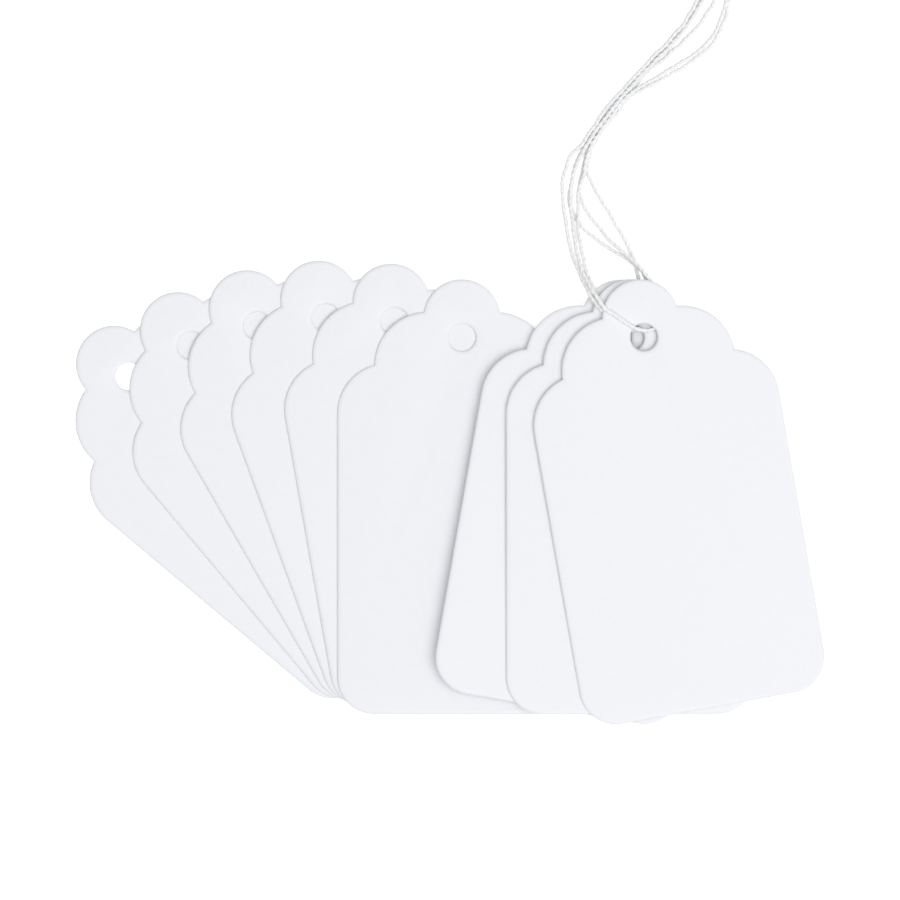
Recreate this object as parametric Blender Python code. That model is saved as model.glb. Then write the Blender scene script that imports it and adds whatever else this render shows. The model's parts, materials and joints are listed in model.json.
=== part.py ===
"""Scallop-topped card price tags: six loose ones fanned out on a table, three on cotton string loops.

Metres, +Z up. The origin lies on the table, under the middle of the nine tags seen from above.
"""

import math

import bmesh
import bpy
from mathutils import Matrix, Vector

MM = 0.001

# One card tag, measured with its hole at the top.
TAG_WIDTH = 0.040
TAG_HEIGHT = 0.0697
CARD_THICKNESS = 0.0003
FOOT_CORNER_RADIUS = 0.006
SHOULDER_DROP = 0.0215
LOWER_NOTCH_DROP = 0.0137
LOWER_NOTCH_HALF_WIDTH = 0.01405
UPPER_NOTCH_DROP = 0.00525
UPPER_NOTCH_HALF_WIDTH = 0.0061
SIDE_LOBE_RADIUS = 0.00855
HOLE_DIAMETER = 0.0044
HOLE_DROP = 0.0093
ARC_STEP = math.radians(6)
HOLE_SIDES = 32

# The fan of loose tags turns about the lower left corner of the tags' outer rectangle.
LOOSE_TAG_COUNT = 6
FAN_STEP = math.radians(10)
FAN_GAP = 0.00005

# The strung tags lie over the fan's right edge, each turned about its own hole.
BUNCH_SHIFT = 0.027
HOLE_SPACING = 0.0021
STRUNG_TURN = math.radians(10)
STRUNG_NAMES = ("rear", "middle", "front")
BUNCH_GAP = 0.00005
FOOT_GAP = 0.00005

# The string loops.
STRING_DIAMETER = 0.0005
STRING_CLEARANCE = 0.00007
STRING_SIDES = 8
POINTS_PER_SPAN = 2

# The knot that closes a loop, with its two cut tails lying side by side.
KNOT_LENGTH = 0.0028
KNOT_DIAMETER = 0.0026
KNOT_END_FULLNESS = 0.7
KNOT_STATIONS = (-1.0, -0.8, -0.45, 0.0, 0.45, 0.8, 1.0)
TAIL_LENGTH = 0.0055
TAIL_WIDTH = 0.0011
TAIL_THICKNESS = 0.00055
TAIL_REACH = 0.0009
TABLE_CLEARANCE = 0.00002
KNOT_SIDES = 12

# Routes of the loops in millimetres: across and along from the middle strung tag's hole, and up from
# the table. Each runs from its knot down the strand that shows, through the hole and back behind the tag.
STRING_ROUTES = {
    "rear": (
        (15.0, 83.3, 1.35), (14.8, 77.5, 0.85), (15.6, 70.3, 0.85), (16.0, 63.0, 0.85),
        (15.7, 56.5, 0.85), (14.7, 51.6, 0.85), (12.9, 47.8, 0.85), (9.9, 45.3, 0.85),
        (5.9, 42.7, 0.85), (2.1, 40.5, 0.85), (-0.2, 38.8, 0.85), (-3.5, 34.7, 0.85),
        (-6.2, 30.7, 0.85), (-7.0, 27.8, 0.85), (-8.0, 24.0, 0.85), (-8.4, 20.7, 0.85),
        (-8.3, 16.8, 0.95), (-7.6, 12.8, 1.45), (-6.5, 9.1, 2.50), (-5.6, 6.8, 2.70),
        (-4.9, 4.3, 2.55), (-4.1, 2.3, 2.50), (-3.1, 1.4, 2.35), (-2.0, 1.2, 1.85), (-0.8, 1.3, 1.35),
        (0.2, 2.3, 1.20), (0.6, 3.9, 1.20), (1.4, 8.0, 1.05), (1.1, 10.8, 0.85), (0.0, 13.9, 0.40),
        (-2.5, 18.5, 0.27), (-4.9, 22.7, 0.27), (-6.8, 26.9, 0.27), (-6.0, 30.6, 0.27),
        (-3.3, 34.5, 0.27), (0.1, 38.6, 0.27), (2.4, 39.9, 0.27), (6.3, 42.1, 0.27),
        (10.3, 44.7, 0.27), (13.4, 47.4, 0.27), (15.3, 51.4, 0.27), (16.4, 56.4, 0.27),
        (16.6, 63.1, 0.27), (16.2, 70.3, 0.27), (15.4, 77.5, 0.40), (15.7, 83.3, 1.00),
    ),
    "middle": (
        (10.1, 83.5, 1.35), (11.7, 77.4, 0.85), (12.6, 69.9, 0.85), (12.6, 62.3, 0.85),
        (11.4, 55.7, 0.85), (9.3, 51.4, 0.85), (6.1, 47.5, 0.85), (2.3, 43.5, 0.85),
        (-1.3, 39.7, 0.85), (-4.7, 35.6, 0.85), (-7.4, 31.5, 0.85), (-9.9, 28.4, 0.85),
        (-10.8, 25.0, 0.85), (-10.8, 21.6, 0.85), (-10.1, 17.1, 0.85), (-9.1, 12.6, 1.45),
        (-7.8, 9.4, 2.50), (-6.5, 6.8, 3.45), (-5.1, 4.9, 3.60), (-2.3, 2.0, 3.30), (-1.0, 1.4, 3.15),
        (0.1, 1.2, 2.65), (1.3, 1.3, 2.15), (2.3, 2.3, 2.00), (2.7, 3.9, 2.00), (2.7, 8.3, 1.95),
        (1.5, 10.9, 1.65), (-1.3, 13.1, 0.95), (-4.5, 15.1, 0.45), (-7.9, 17.9, 0.27),
        (-9.7, 21.6, 0.27), (-9.3, 25.8, 0.27), (-7.2, 31.4, 0.27), (-4.4, 35.4, 0.27),
        (-1.0, 39.5, 0.27), (2.5, 43.3, 0.27), (6.3, 47.3, 0.27), (9.5, 51.3, 0.27),
        (11.7, 55.7, 0.27), (12.9, 62.3, 0.27), (12.9, 69.9, 0.27), (12.0, 77.4, 0.40),
        (10.8, 83.6, 1.00),
    ),
    "front": (
        (12.4, 85.5, 1.35), (12.4, 77.5, 0.85), (13.3, 70.0, 0.85), (13.3, 62.3, 0.85),
        (12.1, 55.5, 0.85), (9.9, 51.1, 0.85), (6.7, 47.1, 0.85), (2.8, 43.0, 0.85),
        (-0.7, 39.3, 0.85), (-4.1, 35.2, 0.85), (-6.8, 31.1, 0.85), (-8.4, 28.0, 0.85),
        (-9.5, 24.5, 0.85), (-9.5, 21.1, 0.85), (-9.1, 17.0, 0.85), (-8.4, 12.8, 1.65),
        (-7.2, 9.4, 3.10), (-6.0, 7.0, 4.20), (-4.3, 4.8, 4.55), (-0.2, 2.0, 4.10), (1.1, 1.4, 3.95),
        (2.2, 1.2, 3.45), (3.4, 1.3, 2.90), (4.4, 2.3, 2.80), (4.8, 3.9, 2.80), (3.7, 8.2, 2.90),
        (1.9, 10.8, 2.40), (-1.3, 13.7, 1.35), (-4.3, 16.7, 0.55), (-6.8, 20.0, 0.27),
        (-8.0, 23.7, 0.27), (-7.5, 27.6, 0.27), (-6.6, 31.0, 0.27), (-3.9, 35.0, 0.27),
        (-0.5, 39.1, 0.27), (3.0, 42.8, 0.27), (7.3, 46.4, 0.27), (10.9, 50.0, 0.27),
        (13.5, 54.2, 0.27), (14.4, 62.3, 0.27), (14.4, 70.0, 0.27), (13.4, 77.5, 0.40),
        (13.1, 85.5, 1.00),
    ),
}

# Where each knot's middle lies, from the middle strung tag's hole, and how far its tails lean left.
KNOT_PLACES = {
    "rear": (0.0155, 0.0850, math.radians(-5)),
    "middle": (0.0100, 0.0852, math.radians(14)),
    "front": (0.01276, 0.0872, math.radians(0)),
}

CARD_COLOUR = (0.89, 0.90, 0.93, 1.0)
CARD_ROUGHNESS = 0.6
COTTON_COLOUR = (0.86, 0.85, 0.82, 1.0)
COTTON_ROUGHNESS = 0.85


def clear_scene():
    for old in list(bpy.data.objects):
        bpy.data.objects.remove(old, do_unlink=True)


def finish(obj, colour, roughness):
    """Gives the object its own plain material."""
    material = bpy.data.materials.new(obj.name + "_surface")
    material.use_nodes = True
    shader = material.node_tree.nodes["Principled BSDF"]
    shader.inputs["Base Color"].default_value = colour
    shader.inputs["Roughness"].default_value = roughness
    shader.inputs["Metallic"].default_value = 0.0
    obj.data.materials.append(material)


def add_object(name, data, parent):
    obj = bpy.data.objects.new(name, data)
    bpy.context.scene.collection.objects.link(obj)
    obj.parent = parent
    return obj


def arc(start, end, radius):
    """Points of a clockwise arc from start to end, both included, bulging to the left of the way."""
    chord = end - start
    across = Vector((chord.y, -chord.x)).normalized()
    depth = math.sqrt(max(radius ** 2 - chord.length_squared / 4, 0.0))
    centre = (start + end) / 2 + across * depth
    sweep = 2 * math.asin(min(chord.length / (2 * radius), 1.0))
    steps = max(2, math.ceil(sweep / ARC_STEP))
    spoke = start - centre
    return [centre + Matrix.Rotation(-sweep * i / steps, 2) @ spoke for i in range(steps + 1)]


def rising_radius(run, rise):
    """Radius of the arc that covers run and rise and ends level with its run's own direction."""
    return (run ** 2 + rise ** 2) / (2 * run)


def tag_outline():
    """The tag's edge, clockwise from the middle of its foot, which is the local origin."""
    half = TAG_WIDTH / 2
    foot_start = Vector((-half + FOOT_CORNER_RADIUS, 0.0))
    foot_end = Vector((-half, FOOT_CORNER_RADIUS))
    shoulder = Vector((-half, TAG_HEIGHT - SHOULDER_DROP))
    lower_notch = Vector((-LOWER_NOTCH_HALF_WIDTH, TAG_HEIGHT - LOWER_NOTCH_DROP))
    upper_notch = Vector((-UPPER_NOTCH_HALF_WIDTH, TAG_HEIGHT - UPPER_NOTCH_DROP))
    top = Vector((0.0, TAG_HEIGHT))
    shoulder_radius = rising_radius(lower_notch.x - shoulder.x, lower_notch.y - shoulder.y)
    top_radius = rising_radius(top.y - upper_notch.y, top.x - upper_notch.x)
    left = arc(foot_start, foot_end, FOOT_CORNER_RADIUS)
    left += arc(shoulder, lower_notch, shoulder_radius)
    left += arc(lower_notch, upper_notch, SIDE_LOBE_RADIUS)[1:]
    left += arc(upper_notch, top, top_radius)[1:-1]
    right = [Vector((-point.x, point.y)) for point in reversed(left)]
    return left + [top] + right


def hole_centre():
    return Vector((0.0, TAG_HEIGHT - HOLE_DROP))


def ring(bm, points):
    """A closed loop of edges through flat points."""
    verts = [bm.verts.new((point.x, point.y, 0.0)) for point in points]
    return [bm.edges.new((verts[i - 1], verts[i])) for i in range(len(verts))]


def tag_mesh(name, origin):
    """A punched card tag whose underside is at z = 0, drawn from the given point of the tag."""
    bm = bmesh.new()
    edges = ring(bm, [point - origin for point in tag_outline()])
    spoke = Vector((HOLE_DIAMETER / 2, 0.0))
    turns = [Matrix.Rotation(math.tau * i / HOLE_SIDES, 2) for i in range(HOLE_SIDES)]
    edges += ring(bm, [hole_centre() - origin + turn @ spoke for turn in turns])
    filled = bmesh.ops.triangle_fill(bm, use_beauty=True, edges=edges, normal=(0.0, 0.0, 1.0))
    faces = [item for item in filled["geom"] if isinstance(item, bmesh.types.BMFace)]
    raised = bmesh.ops.extrude_face_region(bm, geom=faces)
    verts = [item for item in raised["geom"] if isinstance(item, bmesh.types.BMVert)]
    bmesh.ops.translate(bm, verts=verts, vec=(0.0, 0.0, CARD_THICKNESS))
    bmesh.ops.recalc_face_normals(bm, faces=bm.faces[:])
    mesh = bpy.data.meshes.new(name)
    bm.to_mesh(mesh)
    bm.free()
    return mesh


def fan_corner():
    """The point of a tag that the fan turns about."""
    return Vector((-TAG_WIDTH / 2, 0.0))


def loose_places():
    """Name, drawing origin and place of each loose tag, the lowest and most turned one first."""
    pitch = CARD_THICKNESS + FAN_GAP
    for i in range(LOOSE_TAG_COUNT):
        turn = (LOOSE_TAG_COUNT - 1 - i) * FAN_STEP
        place = Matrix.Translation((0.0, 0.0, i * pitch)) @ Matrix.Rotation(turn, 4, "Z")
        yield f"loose_tag_{i + 1}", fan_corner(), place


def bunch_point():
    """The middle strung tag's hole, from the fan's corner."""
    hole = hole_centre() - fan_corner()
    return Vector((hole.x + BUNCH_SHIFT, hole.y, 0.0))


def strung_turns():
    return [(i - 1) * STRUNG_TURN for i in range(len(STRUNG_NAMES))]


def strung_shifts():
    return [(i - 1) * HOLE_SPACING for i in range(len(STRUNG_NAMES))]


def strung_points(i):
    """The flat outline of a strung tag, from the middle strung tag's hole."""
    turn = Matrix.Rotation(strung_turns()[i], 2)
    shift = Vector((strung_shifts()[i], 0.0))
    return [turn @ (point - hole_centre()) + shift for point in tag_outline()]


def bunch_slopes():
    """Fall of the bunch to the right, and the growth of the gap between two tags towards their holes.

    The strings hold the tags apart at the holes and the feet lie close. The rear tag rests on the fan's
    right edge, and the bunch leans over it until its first corner meets the table.
    """
    hole_gap = STRING_DIAMETER + 2 * STRING_CLEARANCE
    outlines = [strung_points(i) for i in range(len(STRUNG_NAMES))]
    foot = min(point.y for points in outlines for point in points)
    wedge = (hole_gap - FOOT_GAP) / -foot
    edge = TAG_WIDTH - bunch_point().x
    edge_height = LOOSE_TAG_COUNT * (CARD_THICKNESS + FAN_GAP) - FAN_GAP + BUNCH_GAP
    falls = []
    for i, points in enumerate(outlines):
        for point in points:
            if point.x > edge:
                height = edge_height + i * (CARD_THICKNESS + hole_gap + point.y * wedge)
                falls.append(height / (point.x - edge))
    fall = min(falls)
    return fall, wedge, edge_height + edge * fall, CARD_THICKNESS + hole_gap


def strung_places():
    """Name, drawing origin and place of each strung tag, from the middle strung tag's hole."""
    fall, wedge, height, pitch = bunch_slopes()
    for i, name in enumerate(STRUNG_NAMES):
        shift = strung_shifts()[i]
        upright = Vector((fall, -i * wedge, 1.0)).normalized()
        lean = Vector((0.0, 0.0, 1.0)).rotation_difference(upright).to_matrix().to_4x4()
        hole = Matrix.Translation((shift, 0.0, height - shift * fall + i * pitch))
        yield f"strung_tag_{name}", hole_centre(), hole @ lean @ Matrix.Rotation(strung_turns()[i], 4, "Z")


def tags_middle():
    """Middle of the nine tags seen from above, from the fan's corner."""
    to_bunch = Matrix.Translation(bunch_point())
    places = [(origin, place) for _, origin, place in loose_places()]
    places += [(origin, to_bunch @ place) for _, origin, place in strung_places()]
    points = []
    for origin, place in places:
        for point in tag_outline():
            flat = point - origin
            points += [place @ Vector((flat.x, flat.y, z)) for z in (0.0, CARD_THICKNESS)]
    across = [point.x for point in points]
    along = [point.y for point in points]
    return Vector(((min(across) + max(across)) / 2, (min(along) + max(along)) / 2, 0.0))


def add_tag(name, origin, place, parent):
    tag = add_object(name, tag_mesh(name, origin), parent)
    tag.matrix_local = place
    finish(tag, CARD_COLOUR, CARD_ROUGHNESS)


def span_point(knots, points, at):
    """Point at the knot value `at` of the smooth span between the second and third of four points."""

    def between(i, j, start, end):
        return start.lerp(end, (at - knots[i]) / (knots[j] - knots[i]))

    first = [between(i, i + 1, points[i], points[i + 1]) for i in range(3)]
    second = [between(i, i + 2, first[i], first[i + 1]) for i in range(2)]
    return between(1, 2, *second)


def smooth_route(route):
    """Points along a smooth curve that passes through the route's own points."""
    points = [Vector(point) * MM for point in route]
    points = [2 * points[0] - points[1]] + points + [2 * points[-1] - points[-2]]
    smooth = []
    for i in range(len(points) - 3):
        four = points[i:i + 4]
        knots = [0.0]
        for a, b in zip(four, four[1:]):
            knots.append(knots[-1] + math.sqrt((b - a).length))
        for step in range(POINTS_PER_SPAN):
            at = knots[1] + (knots[2] - knots[1]) * step / POINTS_PER_SPAN
            smooth.append(span_point(knots, four, at))
    return smooth + [points[-2]]


def add_string(name, route, parent):
    points = smooth_route(route)
    curve = bpy.data.curves.new(name, "CURVE")
    curve.dimensions = "3D"
    curve.bevel_depth = STRING_DIAMETER / 2
    curve.bevel_resolution = (STRING_SIDES - 4) // 2
    curve.use_fill_caps = True
    spline = curve.splines.new("POLY")
    spline.points.add(len(points) - 1)
    for spot, point in zip(spline.points, points):
        spot.co = (*point, 1.0)
    finish(add_object(name, curve, parent), COTTON_COLOUR, COTTON_ROUGHNESS)


def knot_sections():
    """Station, half width, half height and middle height of the knot's cross-sections, from end to end."""
    radius = KNOT_DIAMETER / 2
    for station in KNOT_STATIONS:
        full = radius * math.sqrt(1 - KNOT_END_FULLNESS * station ** 2)
        yield station * KNOT_LENGTH / 2, full, full, radius + TABLE_CLEARANCE
    tail_height = TAIL_THICKNESS / 2 + TABLE_CLEARANCE
    for station in (KNOT_LENGTH / 2 + TAIL_REACH, KNOT_LENGTH / 2 + TAIL_LENGTH):
        yield station, TAIL_WIDTH / 2, TAIL_THICKNESS / 2, tail_height


def add_knot(name, place, parent):
    bm = bmesh.new()
    rings = []
    for station, half_width, half_height, height in knot_sections():
        stand = Matrix.Translation((0.0, station, height)) @ Matrix.Rotation(math.pi / 2, 4, "X")
        size = Matrix.Diagonal((half_width, half_height, 1.0, 1.0))
        made = bmesh.ops.create_circle(bm, segments=KNOT_SIDES, radius=1.0, matrix=stand @ size)
        rings.append(list({edge for vert in made["verts"] for edge in vert.link_edges}))
    for near, far in zip(rings, rings[1:]):
        bmesh.ops.bridge_loops(bm, edges=near + far)
    for end in (rings[0], rings[-1]):
        bmesh.ops.edgeloop_fill(bm, edges=end)
    bmesh.ops.recalc_face_normals(bm, faces=bm.faces[:])
    mesh = bpy.data.meshes.new(name)
    bm.to_mesh(mesh)
    bm.free()
    mesh.shade_smooth()
    knot = add_object(name, mesh, parent)
    across, along, lean = place
    knot.location = (across, along, 0.0)
    knot.rotation_euler = (0.0, 0.0, lean)
    finish(knot, COTTON_COLOUR, COTTON_ROUGHNESS)


def build():
    clear_scene()
    fan = add_object("fan_corner", None, None)
    fan.location = -tags_middle()
    bunch = add_object("bunch_hole", None, fan)
    bunch.location = bunch_point()
    for name, origin, place in loose_places():
        add_tag(name, origin, place, fan)
    for name, origin, place in strung_places():
        add_tag(name, origin, place, bunch)
    for name in STRUNG_NAMES:
        add_string(f"string_{name}", STRING_ROUTES[name], bunch)
        add_knot(f"knot_{name}", KNOT_PLACES[name], bunch)


build()
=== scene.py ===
"""Looks for a set of scallop-topped card price tags: a fan of loose ones and three on cotton loops.

Metres, +Z up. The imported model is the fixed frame, and every piece made here rides on one of its
bodies.
"""

import json
import math
import random

import bmesh
import bpy
from bpy.props import FloatProperty, FloatVectorProperty, IntProperty, PointerProperty
from bpy.types import NodeSocket, Operator, Panel, PropertyGroup
from mathutils import Matrix, Vector, noise

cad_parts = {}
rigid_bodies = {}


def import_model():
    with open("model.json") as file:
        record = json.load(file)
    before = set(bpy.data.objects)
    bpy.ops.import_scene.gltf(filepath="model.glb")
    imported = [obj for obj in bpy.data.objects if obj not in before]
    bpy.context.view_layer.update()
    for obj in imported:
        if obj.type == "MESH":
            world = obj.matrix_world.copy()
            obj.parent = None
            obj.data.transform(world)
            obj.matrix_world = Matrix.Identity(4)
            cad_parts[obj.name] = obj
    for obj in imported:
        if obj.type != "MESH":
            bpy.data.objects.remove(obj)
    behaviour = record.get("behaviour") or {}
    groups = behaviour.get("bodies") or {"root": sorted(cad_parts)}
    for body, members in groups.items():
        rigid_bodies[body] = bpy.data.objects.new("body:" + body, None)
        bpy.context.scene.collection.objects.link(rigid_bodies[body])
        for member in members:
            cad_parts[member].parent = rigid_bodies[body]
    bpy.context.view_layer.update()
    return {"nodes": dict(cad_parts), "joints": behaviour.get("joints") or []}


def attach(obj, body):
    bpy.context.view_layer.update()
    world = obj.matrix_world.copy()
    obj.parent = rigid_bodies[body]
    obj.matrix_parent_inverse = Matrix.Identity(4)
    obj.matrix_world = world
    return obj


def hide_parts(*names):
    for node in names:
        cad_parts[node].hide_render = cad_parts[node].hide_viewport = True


bl_info = {
    "name": "Strung price tags",
    "version": (1, 0, 0),
    "blender": (4, 5, 0),
    "location": "3D View > Sidebar > Price tags",
    "description": "Dresses the packed price tags as die-cut card on twisted cotton loops",
    "category": "Object",
}

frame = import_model()

MM = 0.001
START_OBJECTS = ("Cube", "Camera", "Light")
LOOP_NAMES = ("rear", "middle", "front")
TAG_NODES = [f"loose_tag_{i}" for i in range(1, 7)] + [f"strung_tag_{name}" for name in LOOP_NAMES]
STRING_BODY = "string_bunch"

# The loops' routes in millimetres: across and along from the middle strung tag's hole, and up from
# the table. Each runs from its knot down the strand that shows, through the hole and back behind
# the tag.
STRING_ROUTES = {
    "rear": (
        (15.0, 83.3, 1.35), (14.8, 77.5, 0.85), (15.6, 70.3, 0.85), (16.0, 63.0, 0.85),
        (15.7, 56.5, 0.85), (14.7, 51.6, 0.85), (12.9, 47.8, 0.85), (9.9, 45.3, 0.85),
        (5.9, 42.7, 0.85), (2.1, 40.5, 0.85), (-0.2, 38.8, 0.85), (-3.5, 34.7, 0.85),
        (-6.2, 30.7, 0.85), (-7.0, 27.8, 0.85), (-8.0, 24.0, 0.85), (-8.4, 20.7, 0.85),
        (-8.3, 16.8, 0.95), (-7.6, 12.8, 1.45), (-6.5, 9.1, 2.50), (-5.6, 6.8, 2.70),
        (-4.9, 4.3, 2.55), (-4.1, 2.3, 2.50), (-3.1, 1.4, 2.35), (-2.0, 1.2, 1.85),
        (-0.8, 1.3, 1.35), (0.2, 2.3, 1.20), (0.6, 3.9, 1.20), (1.4, 8.0, 1.05),
        (1.1, 10.8, 0.85), (0.0, 13.9, 0.40), (-2.5, 18.5, 0.27), (-4.9, 22.7, 0.27),
        (-6.8, 26.9, 0.27), (-6.0, 30.6, 0.27), (-3.3, 34.5, 0.27), (0.1, 38.6, 0.27),
        (2.4, 39.9, 0.27), (6.3, 42.1, 0.27), (10.3, 44.7, 0.27), (13.4, 47.4, 0.27),
        (15.3, 51.4, 0.27), (16.4, 56.4, 0.27), (16.6, 63.1, 0.27), (16.2, 70.3, 0.27),
        (15.4, 77.5, 0.40), (15.7, 83.3, 1.00),
    ),
    "middle": (
        (10.1, 83.5, 1.35), (11.7, 77.4, 0.85), (12.6, 69.9, 0.85), (12.6, 62.3, 0.85),
        (11.4, 55.7, 0.85), (9.3, 51.4, 0.85), (6.1, 47.5, 0.85), (2.3, 43.5, 0.85),
        (-1.3, 39.7, 0.85), (-4.7, 35.6, 0.85), (-7.4, 31.5, 0.85), (-9.9, 28.4, 0.85),
        (-10.8, 25.0, 0.85), (-10.8, 21.6, 0.85), (-10.1, 17.1, 0.85), (-9.1, 12.6, 1.45),
        (-7.8, 9.4, 2.50), (-6.5, 6.8, 3.45), (-5.1, 4.9, 3.60), (-2.3, 2.0, 3.30),
        (-1.0, 1.4, 3.15), (0.1, 1.2, 2.65), (1.3, 1.3, 2.15), (2.3, 2.3, 2.00),
        (2.7, 3.9, 2.00), (2.7, 8.3, 1.95), (1.5, 10.9, 1.65), (-1.3, 13.1, 0.95),
        (-4.5, 15.1, 0.45), (-7.9, 17.9, 0.27), (-9.7, 21.6, 0.27), (-9.3, 25.8, 0.27),
        (-7.2, 31.4, 0.27), (-4.4, 35.4, 0.27), (-1.0, 39.5, 0.27), (2.5, 43.3, 0.27),
        (6.3, 47.3, 0.27), (9.5, 51.3, 0.27), (11.7, 55.7, 0.27), (12.9, 62.3, 0.27),
        (12.9, 69.9, 0.27), (12.0, 77.4, 0.40), (10.8, 83.6, 1.00),
    ),
    "front": (
        (12.4, 85.5, 1.35), (12.4, 77.5, 0.85), (13.3, 70.0, 0.85), (13.3, 62.3, 0.85),
        (12.1, 55.5, 0.85), (9.9, 51.1, 0.85), (6.7, 47.1, 0.85), (2.8, 43.0, 0.85),
        (-0.7, 39.3, 0.85), (-4.1, 35.2, 0.85), (-6.8, 31.1, 0.85), (-8.4, 28.0, 0.85),
        (-9.5, 24.5, 0.85), (-9.5, 21.1, 0.85), (-9.1, 17.0, 0.85), (-8.4, 12.8, 1.65),
        (-7.2, 9.4, 3.10), (-6.0, 7.0, 4.20), (-4.3, 4.8, 4.55), (-0.2, 2.0, 4.10),
        (1.1, 1.4, 3.95), (2.2, 1.2, 3.45), (3.4, 1.3, 2.90), (4.4, 2.3, 2.80),
        (4.8, 3.9, 2.80), (3.7, 8.2, 2.90), (1.9, 10.8, 2.40), (-1.3, 13.7, 1.35),
        (-4.3, 16.7, 0.55), (-6.8, 20.0, 0.27), (-8.0, 23.7, 0.27), (-7.5, 27.6, 0.27),
        (-6.6, 31.0, 0.27), (-3.9, 35.0, 0.27), (-0.5, 39.1, 0.27), (3.0, 42.8, 0.27),
        (7.3, 46.4, 0.27), (10.9, 50.0, 0.27), (13.5, 54.2, 0.27), (14.4, 62.3, 0.27),
        (14.4, 70.0, 0.27), (13.4, 77.5, 0.40), (13.1, 85.5, 1.00),
    ),
}

# Each loop takes its waves from its own row of the noise.
ROUTE_STEPS = 16
WAVE_LENGTH = 0.0022
WAVE_HEIGHT = 0.00022
WAVE_FADE = 0.004
WAVE_ROWS = 10.0
WAVE_SLICE = 0.5

# The string's cross-section: how far its two plies reach from its middle, as a share of the plain
# string's radius, and half the depth of the valleys between them, as a share of that reach.
PLY_REACH = 1.4
PLY_DEPTH = 0.12
PROFILE_POINTS = 16
TUBE_MERGE = 1e-7

# Where each knot's middle lies, from the middle strung tag's hole, and how far its tails lean left.
KNOT_PLACES = {
    "rear": (0.0155, 0.0850, math.radians(-5)),
    "middle": (0.0100, 0.0852, math.radians(14)),
    "front": (0.01276, 0.0872, math.radians(0)),
}

# A closing knot about its own axis, which points to its tails: turn in degrees, distance from the
# axis and place along it, in millimetres, of one strand. The wrap gives its first and last turn,
# its distance, and its first and last place. The other strand is the same, half a turn round.
KNOT_AXIS_HEIGHT = 1.22
KNOT_WAY_IN = (
    (135, 0.36, -1.1), (135, 0.36, -0.4), (135, 0.36, 0.3), (132, 0.42, 0.8), (122, 0.66, 1.08),
)
KNOT_WRAP = (100, -275, 0.92, 0.85, -0.62)
KNOT_WRAP_STEP = 25
KNOT_WAY_OUT = (
    (-298, 0.86, -0.86), (-310, 0.62, -1.08), (-315, 0.40, -0.85), (-315, 0.36, -0.3),
    (-315, 0.36, 0.5), (-315, 0.38, 1.2),
)

# One tail of a knot in millimetres: across, along and up from the table.
TAIL_POINTS = ((0.28, 2.4, 0.42), (0.30, 3.6, 0.31), (0.36, 5.2, 0.31), (0.46, 6.9, 0.33))

# Stray fibres stand only on the free stretch of the loops, clear of the tags. Their roots and a
# tuft's spread and setback are shares of the string's diameter.
FIBRE_CLEAR = 0.0115
FIBRE_STEP = 0.00018
FIBRE_LENGTHS = (0.0004, 0.0013)
FIBRE_SPANS = 3
FIBRE_TAPER = 0.2
FIBRE_CURL = 0.4
FIBRE_ROOT = 0.45
TUFT_FIBRES = 26
TUFT_LENGTHS = (0.0003, 0.0011)
TUFT_SPREAD = 0.3
TUFT_SETBACK = 0.2
TUFT_SPLAY = 0.5
TUFT_CURL = 0.3
TUFT_LOOK_BACK = 4

# How the press rolls a cut edge down, from the edge inwards: width and rise of each step, as shares
# of the roll's whole width and depth, and how much of the painted edge shade is left at its inner
# side.
ROLL_STEPS = ((0.4, 0.6, 1.0), (0.35, 0.3, 0.4), (0.25, 0.1, 0.0))

# How a tag's facets are read: points this close are one point, faces this flat to each other are
# one face, and a face is the card's front or back if this share of its normal is upright.
CARD_MERGE = 0.001 * MM
CARD_FLAT = math.radians(0.5)
CARD_FACE_SHARE = 0.9

# How much darker the dim flecks of the card and the cotton are than their colour.
CARD_DIM = 0.985
COTTON_DIM = 0.96

# Where a Mix node has its two colours and its mixed colour.
MIX_COLOURS = (6, 7)
MIX_RESULT = 2

WHITE = (1.0, 1.0, 1.0, 1.0)

# How far the table goes each way, and how far the camera sees, as a multiple of its height.
TABLE_REACH = 4.0
CAMERA_REACH = 10


class CardSettings(PropertyGroup):
    """Sizes and colours of the card tags."""

    roll_width: FloatProperty(
        name="Roll width", description="Width of the band that the press rolls down along a cut",
        default=0.00070, unit="LENGTH", precision=6)
    roll_depth: FloatProperty(
        name="Roll depth", description="How far the press rolls the upper edge of a cut down",
        default=0.00022, unit="LENGTH", precision=6)
    hole_roll: FloatProperty(
        name="Hole roll", description="Share of the roll that the punch leaves round the hole",
        default=0.35, min=0.0, max=1.0)
    burr_depth: FloatProperty(
        name="Under roll", description="How far the lower edge of a cut is rounded up",
        default=0.00003, unit="LENGTH", precision=6)
    face: FloatVectorProperty(
        name="Face", description="Colour of the card's faces",
        default=(0.88, 0.888, 0.92), size=3, subtype="COLOR", min=0.0, max=1.0)
    # Painted shade: a slightly darker colour on the rolled band along each cut edge.
    core: FloatVectorProperty(
        name="Cut edge", description="Colour of the card where it is cut and pressed",
        default=(0.875, 0.883, 0.913), size=3, subtype="COLOR", min=0.0, max=1.0)


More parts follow.
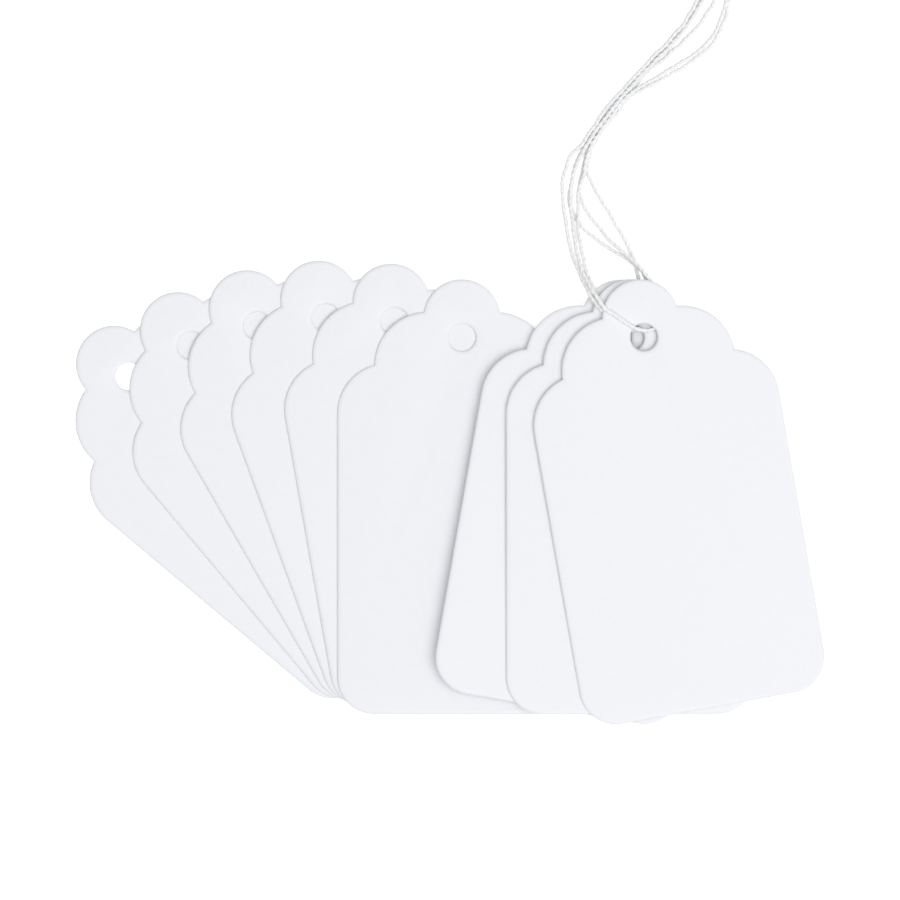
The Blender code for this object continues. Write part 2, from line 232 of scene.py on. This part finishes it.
class StringSettings(PropertyGroup):
    """Sizes and colours of the cotton string."""

    diameter: FloatProperty(
        name="Diameter", description="Width of the plain string, past which its plies stand out",
        default=0.0005, unit="LENGTH", precision=6)
    pitch: FloatProperty(
        name="Twist", description="Length of one full turn of the plies",
        default=0.0021, unit="LENGTH", precision=6)
    steps: IntProperty(
        name="Steps", description="Cross-sections in each turn of the twist",
        default=12, min=6, max=24)
    cotton: FloatVectorProperty(
        name="Cotton", description="Colour of the yarn",
        default=(0.98, 0.982, 0.988), size=3, subtype="COLOR", min=0.0, max=1.0)
    # Painted shade: a darker colour laid deep between the plies, where their own shade falls.
    painted_ply_shade: FloatVectorProperty(
        name="Between plies", description="Colour deep between the plies",
        default=(0.955, 0.958, 0.968), size=3, subtype="COLOR", min=0.0, max=1.0)
    fibre: FloatProperty(
        name="Fibre", description="Width of a stray fibre",
        default=0.00002, unit="LENGTH", precision=6)


class StageSettings(PropertyGroup):
    """The table, the light and the view."""

    view_width: FloatProperty(
        name="View width", description="Width of table that the view takes in",
        default=0.1445, unit="LENGTH", precision=4)
    view_middle: FloatProperty(
        name="View middle", description="How far up the table the view's middle lies",
        default=0.0068, unit="LENGTH", precision=4)
    height: FloatProperty(
        name="Camera height", description="Height of the camera over the table",
        default=1.0, unit="LENGTH")
    dome: FloatProperty(
        name="Dome", description="Level of the even light from all round",
        default=0.46, min=0.0)
    key: FloatProperty(
        name="Key", description="Share of the soft lamp on the level table",
        default=0.53, min=0.0)
    key_turn: FloatProperty(
        name="Key turn", description="Where the lamp stands, from +X",
        default=math.radians(-36), subtype="ANGLE")
    key_rise: FloatProperty(
        name="Key rise", description="How high the lamp stands",
        default=math.radians(70), subtype="ANGLE")
    key_distance: FloatProperty(
        name="Key distance", description="How far the lamp is from the tags",
        default=2.4, unit="LENGTH")
    key_size: FloatProperty(
        name="Key size", description="How wide the lamp's disc is",
        default=3.2, unit="LENGTH")
    table: FloatVectorProperty(
        name="Table", description="Colour of the table",
        default=(0.96, 0.96, 0.96), size=3, subtype="COLOR", min=0.0, max=1.0)
    lift: FloatProperty(
        name="Table lift", description="Glow that takes the bare table up to white in the view",
        default=0.5, min=0.0)


class PriceTagSettings(PropertyGroup):
    """Everything that can be changed on the price tags."""

    card: PointerProperty(type=CardSettings)
    string: PointerProperty(type=StringSettings)
    stage: PointerProperty(type=StageSettings)


def feed(tree, socket, value):
    """Links a socket to another one, or sets it to a plain value."""
    if isinstance(value, NodeSocket):
        tree.links.new(value, socket)
    else:
        socket.default_value = value


def add_node(tree, kind, sockets=None, **settings):
    """A shader node with its settings and with what its named sockets get."""
    made = tree.nodes.new(kind)
    for name, value in settings.items():
        setattr(made, name, value)
    for name, value in (sockets or {}).items():
        feed(tree, made.inputs[name], value)
    return made


def add_math(tree, operation, *terms):
    """Result of a Math node. Each term is a socket or a plain number."""
    made = add_node(tree, "ShaderNodeMath", operation=operation)
    for socket, term in zip(made.inputs, terms):
        feed(tree, socket, term)
    return made.outputs[0]


def mix_colour(tree, factor, *colours):
    """Mix of two colours by a factor socket. Each colour is a socket or a plain colour."""
    mix = add_node(tree, "ShaderNodeMix", {"Factor": factor}, data_type="RGBA")
    for place, colour in zip(MIX_COLOURS, colours):
        plain = not isinstance(colour, NodeSocket)
        feed(tree, mix.inputs[place], (*colour, 1.0) if plain else colour)
    return mix.outputs[MIX_RESULT]


def fibre_grain():
    """Node group: paper or cotton fibres as a height and as a mask of paler flecks."""
    name = "fibre_grain"
    if name in bpy.data.node_groups:
        return bpy.data.node_groups[name]
    tree = bpy.data.node_groups.new(name, "ShaderNodeTree")
    for socket, way, kind in (
            ("Vector", "INPUT", "NodeSocketVector"), ("Density", "INPUT", "NodeSocketFloat"),
            ("Height", "OUTPUT", "NodeSocketFloat"), ("Flecks", "OUTPUT", "NodeSocketFloat")):
        tree.interface.new_socket(socket, in_out=way, socket_type=kind)
    source = add_node(tree, "NodeGroupInput").outputs
    fine = add_node(tree, "ShaderNodeTexNoise", {
        "Vector": source["Vector"], "Scale": source["Density"], "Detail": 4.0, "Roughness": 0.6,
        "Distortion": 1.2})
    sparse = add_math(tree, "MULTIPLY", source["Density"], 0.13)
    broad = add_node(tree, "ShaderNodeTexNoise", {
        "Vector": source["Vector"], "Scale": sparse, "Detail": 3.0})
    flecks = add_node(tree, "ShaderNodeMapRange", {
        "Value": broad.outputs["Fac"], "From Min": 0.35, "From Max": 0.65})
    add_node(tree, "NodeGroupOutput", {
        "Height": fine.outputs["Fac"], "Flecks": flecks.outputs["Result"]})
    return tree


def add_grain(tree, shader, place, density, rough, bump):
    """Fibre grain as roughness and bump on a shader. Returns the mask of its flecks.

    `rough` is the roughness of dim and of pale flecks, and `bump` is its strength and distance.
    """
    grain = add_node(tree, "ShaderNodeGroup", node_tree=fibre_grain())
    feed(tree, grain.inputs["Vector"], place)
    feed(tree, grain.inputs["Density"], density)
    spread = add_node(tree, "ShaderNodeMapRange", {
        "Value": grain.outputs["Flecks"], "To Min": rough[0], "To Max": rough[1]})
    relief = add_node(tree, "ShaderNodeBump", {
        "Height": grain.outputs["Height"], "Strength": bump[0], "Distance": bump[1]})
    feed(tree, shader.inputs["Roughness"], spread.outputs["Result"])
    feed(tree, shader.inputs["Normal"], relief.outputs["Normal"])
    return grain.outputs["Flecks"]


def fresh_material(name, sockets):
    """A material of that name, new or emptied, with its node tree and its plain shader."""
    material = bpy.data.materials.get(name) or bpy.data.materials.new(name)
    material.use_nodes = True
    tree = material.node_tree
    tree.nodes.clear()
    shader = add_node(tree, "ShaderNodeBsdfPrincipled", sockets)
    add_node(tree, "ShaderNodeOutputMaterial", {"Surface": shader.outputs["BSDF"]})
    return material, tree, shader


def card_material(settings):
    """Smooth white card with a faint fibre grain, and painted shade, a slightly darker colour, on
    the rolled band along each cut.
    """
    material, tree, shader = fresh_material("white_card", {"Specular IOR Level": 0.3})
    place = add_node(tree, "ShaderNodeTexCoord").outputs["Object"]
    flecks = add_grain(
        tree, shader, place, density=5200.0, rough=(0.5, 0.66), bump=(0.25, 0.00002))
    dim = [CARD_DIM * value for value in settings.face]
    face = mix_colour(tree, flecks, dim, settings.face)
    # Painted shade: the cut mask darkens the card along its rolled edges.
    cut = add_node(tree, "ShaderNodeAttribute", attribute_name="cut")
    feed(tree, shader.inputs["Base Color"],
         mix_colour(tree, cut.outputs["Fac"], face, settings.core))
    return material


def cotton_material(settings):
    """Bleached two-ply cotton, with fibre streaks along the yarn and painted shade between the
    plies.
    """
    material, tree, shader = fresh_material("twisted_cotton", {
        "Specular IOR Level": 0.15, "Sheen Weight": 0.9, "Sheen Roughness": 0.6})
    unwrap = add_node(tree, "ShaderNodeUVMap", uv_map="UVMap").outputs["UV"]
    streaks = add_node(tree, "ShaderNodeMapping", {
        "Vector": unwrap, "Scale": (9.0, 260.0, 1.0), "Rotation": (0.0, 0.0, math.radians(20))})
    flecks = add_grain(
        tree, shader, streaks.outputs["Vector"], density=3.0, rough=(0.78, 0.92),
        bump=(0.5, 0.00003))
    # Painted shade: going round the string, the colour darkens towards the valleys between the two
    # plies.
    round_string = add_node(tree, "ShaderNodeSeparateXYZ", {"Vector": unwrap}).outputs["X"]
    ply_wave = add_math(tree, "COSINE", add_math(tree, "MULTIPLY", round_string, 2 * math.tau))
    painted_ply_shade = add_node(tree, "ShaderNodeMapRange", {
        "Value": ply_wave, "From Min": -0.2, "From Max": -1.0}, interpolation_type="SMOOTHSTEP")
    dim = [COTTON_DIM * value for value in settings.cotton]
    yarn = mix_colour(tree, flecks, dim, settings.cotton)
    feed(tree, shader.inputs["Base Color"],
         mix_colour(tree, painted_ply_shade.outputs["Result"], yarn, settings.painted_ply_shade))
    return material


def table_material(settings):
    """A plain white table that keeps its shadows and reads as white in the view."""
    material, tree, shader = fresh_material("white_table", {
        "Base Color": (*settings.table, 1.0), "Roughness": 0.9, "Specular IOR Level": 0.0,
        "Emission Color": WHITE})
    glow = add_math(tree, "MULTIPLY", seen_rays(tree), settings.lift)
    feed(tree, shader.inputs["Emission Strength"], glow)
    return material


def seen_rays(tree):
    """1 for camera rays and for what gloss or glass shows of the background, otherwise 0."""
    path = add_node(tree, "ShaderNodeLightPath").outputs
    gloss = add_math(tree, "MAXIMUM", path["Is Camera Ray"], path["Is Glossy Ray"])
    return add_math(tree, "MAXIMUM", gloss, path["Is Transmission Ray"])


def add_object(name, data):
    """A new object in the scene."""
    obj = bpy.data.objects.new(name, data)
    bpy.context.scene.collection.objects.link(obj)
    return obj


def add_piece(name, mesh, material, body, slot, *nodes):
    """A finished piece of one material that rides on a body and stands for CAD nodes."""
    mesh.materials.clear()
    mesh.materials.append(material)
    obj = add_object(name, mesh)
    if nodes:
        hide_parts(*nodes)
    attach(obj, body)
    return obj


def bunch_hole():
    """The middle strung tag's hole, on the table."""
    swivel = next(joint for joint in frame["joints"] if joint["name"] == "middle_tag_swivel")
    return Vector((swivel["pos_m"][0], swivel["pos_m"][1], 0.0))


def span_point(knots, points, at):
    """Point at the knot value `at` of the smooth span between the inner two of four points."""

    def between(i, j, start, end):
        return start.lerp(end, (at - knots[i]) / (knots[j] - knots[i]))

    first = [between(i, i + 1, points[i], points[i + 1]) for i in range(3)]
    second = [between(i, i + 2, first[i], first[i + 1]) for i in range(2)]
    return between(1, 2, *second)


def smooth_route(points):
    """Points along a smooth curve through the given points, some in each span."""
    points = [2 * points[0] - points[1]] + points + [2 * points[-1] - points[-2]]
    smooth = []
    for i in range(len(points) - 3):
        four = points[i:i + 4]
        knots = [0.0]
        for a, b in zip(four, four[1:]):
            knots.append(knots[-1] + math.sqrt((b - a).length))
        for step in range(ROUTE_STEPS):
            at = knots[1] + (knots[2] - knots[1]) * step / ROUTE_STEPS
            smooth.append(span_point(knots, four, at))
    return smooth + [points[-2]]


def route_length(points):
    """Length of the line through the points."""
    return sum((b - a).length for a, b in zip(points, points[1:]))


def even_route(points, step):
    """The same line with its points about one step apart."""
    count = max(2, round(route_length(points) / step))
    step = route_length(points) / count
    even = [points[0]]
    walked = 0.0
    for a, b in zip(points, points[1:]):
        span = (b - a).length
        while len(even) < count and walked + span >= len(even) * step:
            even.append(a.lerp(b, (len(even) * step - walked) / span))
        walked += span
    return even + [points[-1]]


def wavy_route(points, row):
    """The same line with the small sideways waves of a limp string, none near its ends."""
    total = route_length(points)
    walked = 0.0
    wavy = []
    for i, point in enumerate(points):
        walked += (point - points[i - 1]).length if i else 0.0
        fade = min(1.0, walked / WAVE_FADE, (total - walked) / WAVE_FADE)
        ahead = points[min(i + 1, len(points) - 1)] - points[max(i - 1, 0)]
        across = Vector((ahead.y, -ahead.x, 0.0)).normalized()
        wave = noise.noise((walked / WAVE_LENGTH, row, WAVE_SLICE))
        wavy.append(point + across * fade * WAVE_HEIGHT * wave)
    return wavy


def loop_route(name):
    """A loop's line from its knot, down to its tag's hole and back."""
    hole = bunch_hole()
    route = [hole + Vector(point) * MM for point in STRING_ROUTES[name]]
    return wavy_route(smooth_route(route), WAVE_ROWS * LOOP_NAMES.index(name))


def knot_strand(side):
    """Points of one strand of a knot, from the loop to its cut tail, about the knot's place."""
    start, end, radius, top, foot = KNOT_WRAP
    turns = math.ceil((start - end) / KNOT_WRAP_STEP)
    wrap = [
        (start + (end - start) * i / turns, radius, top + (foot - top) * i / turns)
        for i in range(turns + 1)]
    points = []
    for turn, out, along in (*KNOT_WAY_IN, *wrap, *KNOT_WAY_OUT):
        angle = math.radians(turn + 180 * side)
        height = KNOT_AXIS_HEIGHT + out * math.sin(angle)
        points.append(Vector((out * math.cos(angle), along, height)) * MM)
    for across, along, height in TAIL_POINTS:
        points.append(Vector((across - 2 * across * side, along, height)) * MM)
    return points


def knot_routes(name):
    """The two strands of a loop's closing knot, from the loop's ends to the cut tails."""
    hole = bunch_hole()
    across, along, lean = KNOT_PLACES[name]
    place = Matrix.Translation(hole + Vector((across, along, 0.0))) @ Matrix.Rotation(lean, 4, "Z")
    routes = []
    for side, end in enumerate((STRING_ROUTES[name][0], STRING_ROUTES[name][-1])):
        strand = [hole + Vector(end) * MM] + [place @ point for point in knot_strand(side)]
        routes.append(smooth_route(strand))
    return routes


def new_curve(name):
    """An empty curve whose tubes are closed at their ends."""
    curve = bpy.data.curves.new(name, "CURVE")
    curve.dimensions = "3D"
    curve.use_fill_caps = True
    return curve


def curve_mesh(name, curve):
    """The closed tubes of a curve as one smooth mesh."""
    guide = add_object(name + "_guide", curve)
    bpy.context.view_layer.update()
    shaped = guide.evaluated_get(bpy.context.evaluated_depsgraph_get())
    mesh = bpy.data.meshes.new_from_object(shaped)
    mesh.name = name
    bpy.data.objects.remove(guide)
    bm = bmesh.new()
    bm.from_mesh(mesh)
    bmesh.ops.remove_doubles(bm, verts=bm.verts[:], dist=TUBE_MERGE)
    bmesh.ops.recalc_face_normals(bm, faces=bm.faces[:])
    bm.to_mesh(mesh)
    bm.free()
    mesh.shade_smooth()
    return mesh


def ply_profile(diameter):
    """The string's cross-section: two plies side by side, as a closed curve."""
    curve = bpy.data.curves.new("ply_profile", "CURVE")
    spline = curve.splines.new("POLY")
    spline.points.add(PROFILE_POINTS - 1)
    spline.use_cyclic_u = True
    for i, point in enumerate(spline.points):
        angle = math.tau * i / PROFILE_POINTS
        radius = PLY_REACH * diameter / 2 * (1 - PLY_DEPTH + PLY_DEPTH * math.cos(2 * angle))
        point.co = (radius * math.cos(angle), radius * math.sin(angle), 0.0, 1.0)
    return add_object("ply_profile", curve)


def twisted_mesh(name, routes, settings):
    """One mesh of twisted strands that follow the routes, closed at their ends."""
    profile = ply_profile(settings.diameter)
    curve = new_curve(name)
    curve.bevel_mode = "OBJECT"
    curve.bevel_object = profile
    for route in routes:
        points = even_route(route, settings.pitch / settings.steps)
        spline = curve.splines.new("POLY")
        spline.points.add(len(points) - 1)
        for i, (spot, point) in enumerate(zip(spline.points, points)):
            spot.co = (*point, 1.0)
            spot.tilt = math.tau * (i % settings.steps) / settings.steps
    mesh = curve_mesh(name, curve)
    bpy.data.objects.remove(profile)
    return mesh


def random_way(chance, reach):
    """A random step of up to `reach` along each axis."""
    return Vector([chance.uniform(-reach, reach) for _ in range(3)])


def add_fibre(curve, start, heading, length, curl, floor):
    """Adds one short curled fibre to a curve, never lower than `floor`."""
    spline = curve.splines.new("POLY")
    spline.points.add(FIBRE_SPANS)
    spot = start.copy()
    for i, point in enumerate(spline.points):
        point.co = (spot.x, spot.y, max(spot.z, floor), 1.0)
        point.radius = 1.0 - FIBRE_TAPER * i
        spot += heading.normalized() * length / FIBRE_SPANS
        heading = heading.normalized() + curl


def stray_fibres(curve, route, settings, chance):
    """Fibres that stand off a route's sides and top."""
    clear = bunch_hole().y + FIBRE_CLEAR
    root = FIBRE_ROOT * settings.diameter
    points = even_route(route, FIBRE_STEP)
    for spot, after in zip(points, points[1:]):
        out = random_way(chance, 1.0)
        along = (after - spot).normalized() * chance.uniform(-1.0, 1.0)
        length = chance.uniform(*FIBRE_LENGTHS)
        curl = random_way(chance, FIBRE_CURL)
        if spot.y < clear:
            continue
        out -= out.project(after - spot)
        out.z = abs(out.z)
        out.normalize()
        add_fibre(curve, spot + out * root, out + along, length, curl, spot.z - root)


def frayed_end(curve, route, settings, chance):
    """A tuft of fibres at the cut end of a tail."""
    tip = route[-1]
    ahead = (tip - route[-TUFT_LOOK_BACK]).normalized()
    setback = TUFT_SETBACK * settings.diameter * ahead
    for _ in range(TUFT_FIBRES):
        start = tip + random_way(chance, TUFT_SPREAD * settings.diameter) - setback
        heading = ahead + random_way(chance, TUFT_SPLAY)
        length = chance.uniform(*TUFT_LENGTHS)
        curl = random_way(chance, TUFT_CURL)
        add_fibre(curve, start, heading, length, curl, settings.fibre)


def hole_place(walls):
    """Middle of a tag's hole, whose walls are the smaller ring, and a reach past its rim."""
    left = set(walls)
    places = []
    while left:
        grow = [left.pop()]
        spots = []
        while grow:
            face = grow.pop()
            spots.extend(vert.co for vert in face.verts)
            near = {other for edge in face.edges for other in edge.link_faces} & left
            left -= near
            grow.extend(near)
        low, high = (Vector(map(pick, zip(*spots))) for pick in (min, max))
        places.append(((low + high) / 2, (high - low).length / 2))
    return min(places, key=lambda place: place[1])


def cut_tag(node, settings):
    """A copy of the node's tag with its cut edges rolled and a band along them marked as cut, where
    the card gets painted shade.
    """
    bm = bmesh.new()
    bm.from_mesh(frame["nodes"][node].data)
    bmesh.ops.remove_doubles(bm, verts=bm.verts[:], dist=CARD_MERGE)
    bmesh.ops.dissolve_limit(bm, angle_limit=CARD_FLAT, verts=bm.verts[:], edges=bm.edges[:])
    upright = max(bm.faces, key=lambda face: face.normal.z).normal.copy()
    caps = [face for face in bm.faces if abs(face.normal.dot(upright)) > CARD_FACE_SHARE]
    middle, reach = hole_place(set(bm.faces) - set(caps))
    # The cut mask: how much painted edge shade each point of the roll gets.
    cut = bm.verts.layers.float.new("cut")
    for vert in bm.verts:
        vert[cut] = 1.0
    for side, depth in ((1.0, settings.roll_depth), (-1.0, settings.burr_depth)):
        faces = [face for face in caps if face.normal.dot(upright) * side > 0]
        shaped = {vert for face in faces for vert in face.verts}
        level = faces[0].verts[0].co.dot(upright)
        bmesh.ops.translate(bm, verts=list(shaped), vec=-side * depth * upright)
        for width, rise, left in ROLL_STEPS:
            bmesh.ops.inset_region(
                bm, faces=faces, thickness=width * settings.roll_width, depth=rise * depth,
                use_even_offset=True)
            for vert in {vert for face in faces for vert in face.verts}:
                vert[cut] = left
                shaped.add(vert)
        for vert in shaped:
            if (vert.co - middle).length < reach:
                drop = level - vert.co.dot(upright)
                vert.co += (1 - settings.hole_roll) * drop * upright
    mesh = bpy.data.meshes.new(f"card_{node}")
    bm.to_mesh(mesh)
    bm.free()
    mesh.shade_smooth()
    return mesh


def lay_table(settings):
    """The wide white table under the tags."""
    bm = bmesh.new()
    bmesh.ops.create_grid(bm, x_segments=1, y_segments=1, size=TABLE_REACH)
    mesh = bpy.data.meshes.new("table")
    bm.to_mesh(mesh)
    bm.free()
    mesh.materials.append(table_material(settings))
    table = add_object("table", mesh)


def hang_key(settings):
    """A soft disc lamp that gives its share of the light on the level table at the origin."""
    lamp = bpy.data.lights.new("soft_key", "AREA")
    lamp.shape = "DISK"
    lamp.size = settings.key_size
    reach = settings.key_distance ** 2 + (settings.key_size / 2) ** 2
    lamp.energy = settings.key * math.pi ** 2 * reach / math.sin(settings.key_rise)
    level = math.cos(settings.key_rise)
    towards = Vector((
        level * math.cos(settings.key_turn), level * math.sin(settings.key_turn),
        math.sin(settings.key_rise)))
    key = add_object("soft_key", lamp)
    key.location = towards * settings.key_distance
    key.rotation_euler = towards.to_track_quat("Z", "Y").to_euler()
    key.visible_camera = False


def light_dome(settings):
    """An even white light from all round, in front of a backdrop that reads as white."""
    world = bpy.data.worlds.new("white_dome")
    bpy.context.scene.world = world
    world.use_nodes = True
    tree = world.node_tree
    dome = tree.nodes["Background"]
    dome.inputs["Color"].default_value = WHITE
    dome.inputs["Strength"].default_value = settings.dome
    backdrop = add_node(tree, "ShaderNodeBackground", {"Color": WHITE, "Strength": 1.0})
    choice = add_node(tree, "ShaderNodeMixShader", {"Fac": seen_rays(tree)})
    feed(tree, choice.inputs[1], dome.outputs["Background"])
    feed(tree, choice.inputs[2], backdrop.outputs["Background"])
    feed(tree, tree.nodes["World Output"].inputs["Surface"], choice.outputs["Shader"])


def place_camera(scene, settings):
    """A camera straight over the table that takes in the view's width."""
    data = bpy.data.cameras.new("overhead")
    data.lens = data.sensor_width * settings.height / settings.view_width
    data.clip_end = CAMERA_REACH * settings.height
    camera = add_object("overhead", data)
    camera.location = (0.0, settings.view_middle, settings.height)
    scene.camera = camera


class PRICE_TAGS_OT_set_stage(Operator):
    """Sets the table, the light and the camera"""

    bl_idname = "price_tags.set_stage"
    bl_label = "Set stage"

    def execute(self, context):
        settings = context.scene.price_tags.stage
        context.scene.view_settings.view_transform = "Standard"
        lay_table(settings)
        hang_key(settings)
        light_dome(settings)
        place_camera(context.scene, settings)
        return {"FINISHED"}


class PRICE_TAGS_OT_tie_knots(Operator):
    """Ties the knot that closes each loop, with its two cut tails"""

    bl_idname = "price_tags.tie_knots"
    bl_label = "Tie knots"

    def execute(self, context):
        settings = context.scene.price_tags.string
        cotton = cotton_material(settings)
        for name in LOOP_NAMES:
            mesh = twisted_mesh(f"cotton_knot_{name}", knot_routes(name), settings)
            add_piece(mesh.name, mesh, cotton, STRING_BODY, "cotton", f"knot_{name}")
        return {"FINISHED"}


class PRICE_TAGS_OT_raise_fibres(Operator):
    """Raises the stray fibres of the loops and frays the cut tails"""

    bl_idname = "price_tags.raise_fibres"
    bl_label = "Raise fibres"

    def execute(self, context):
        settings = context.scene.price_tags.string
        cotton = cotton_material(settings)
        for i, name in enumerate(LOOP_NAMES):
            chance = random.Random(i)
            curve = new_curve("fibres")
            curve.bevel_depth = settings.fibre / 2
            curve.bevel_resolution = 0
            stray_fibres(curve, loop_route(name), settings, chance)
            for strand in knot_routes(name):
                stray_fibres(curve, strand, settings, chance)
                frayed_end(curve, strand, settings, chance)
            mesh = curve_mesh(f"cotton_fibres_{name}", curve)
            add_piece(mesh.name, mesh, cotton, STRING_BODY, "cotton")
        return {"FINISHED"}


class PRICE_TAGS_OT_lay_strings(Operator):
    """Lays the three cotton loops along their routes"""

    bl_idname = "price_tags.lay_strings"
    bl_label = "Lay strings"

    def execute(self, context):
        settings = context.scene.price_tags.string
        cotton = cotton_material(settings)
        for name in LOOP_NAMES:
            line = loop_route(name)
            mesh = twisted_mesh(f"cotton_loop_{name}", [line], settings)
            loop = add_piece(mesh.name, mesh, cotton, STRING_BODY, "cotton", f"string_{name}")
        return {"FINISHED"}


class PRICE_TAGS_OT_cut_tags(Operator):
    """Cuts the nine card tags, with rounded and pressed edges"""

    bl_idname = "price_tags.cut_tags"
    bl_label = "Cut tags"

    def execute(self, context):
        settings = context.scene.price_tags.card
        card = card_material(settings)
        for node in TAG_NODES:
            mesh = cut_tag(node, settings)
            add_piece(mesh.name, mesh, card, node, "card", node)
        return {"FINISHED"}


STEPS = (
    PRICE_TAGS_OT_set_stage,
    PRICE_TAGS_OT_tie_knots,
    PRICE_TAGS_OT_raise_fibres,
    PRICE_TAGS_OT_lay_strings,
    PRICE_TAGS_OT_cut_tags,
)


class PRICE_TAGS_PT_tools(Panel):
    """Steps and settings of the price tags"""

    bl_label = "Price tags"
    bl_space_type = "VIEW_3D"
    bl_region_type = "UI"
    bl_category = "Price tags"

    def draw(self, context):
        for step in STEPS:
            self.layout.operator(step.bl_idname)
        settings = context.scene.price_tags
        for group in (settings.card, settings.string, settings.stage):
            box = self.layout.box()
            for name in type(group).__annotations__:
                box.prop(group, name)


CLASSES = (
    CardSettings, StringSettings, StageSettings, PriceTagSettings, *STEPS, PRICE_TAGS_PT_tools)


def register():
    """Makes the steps, the panel and the scene's settings known to Blender."""
    for item in CLASSES:
        bpy.utils.register_class(item)
    bpy.types.Scene.price_tags = PointerProperty(type=PriceTagSettings)


def unregister():
    """Takes back what register made known."""
    del bpy.types.Scene.price_tags
    for item in reversed(CLASSES):
        bpy.utils.unregister_class(item)


def clear_start():
    """Removes the objects that Blender starts with."""
    for name in START_OBJECTS:
        if name in bpy.data.objects:
            bpy.data.objects.remove(bpy.data.objects[name])


def main():
    """Dresses the frame from start to end."""
    clear_start()
    register()
    bpy.ops.price_tags.set_stage()
    bpy.ops.price_tags.tie_knots()
    bpy.ops.price_tags.raise_fibres()
    bpy.ops.price_tags.lay_strings()
    bpy.ops.price_tags.cut_tags()


if __name__ == "__main__":
    main()
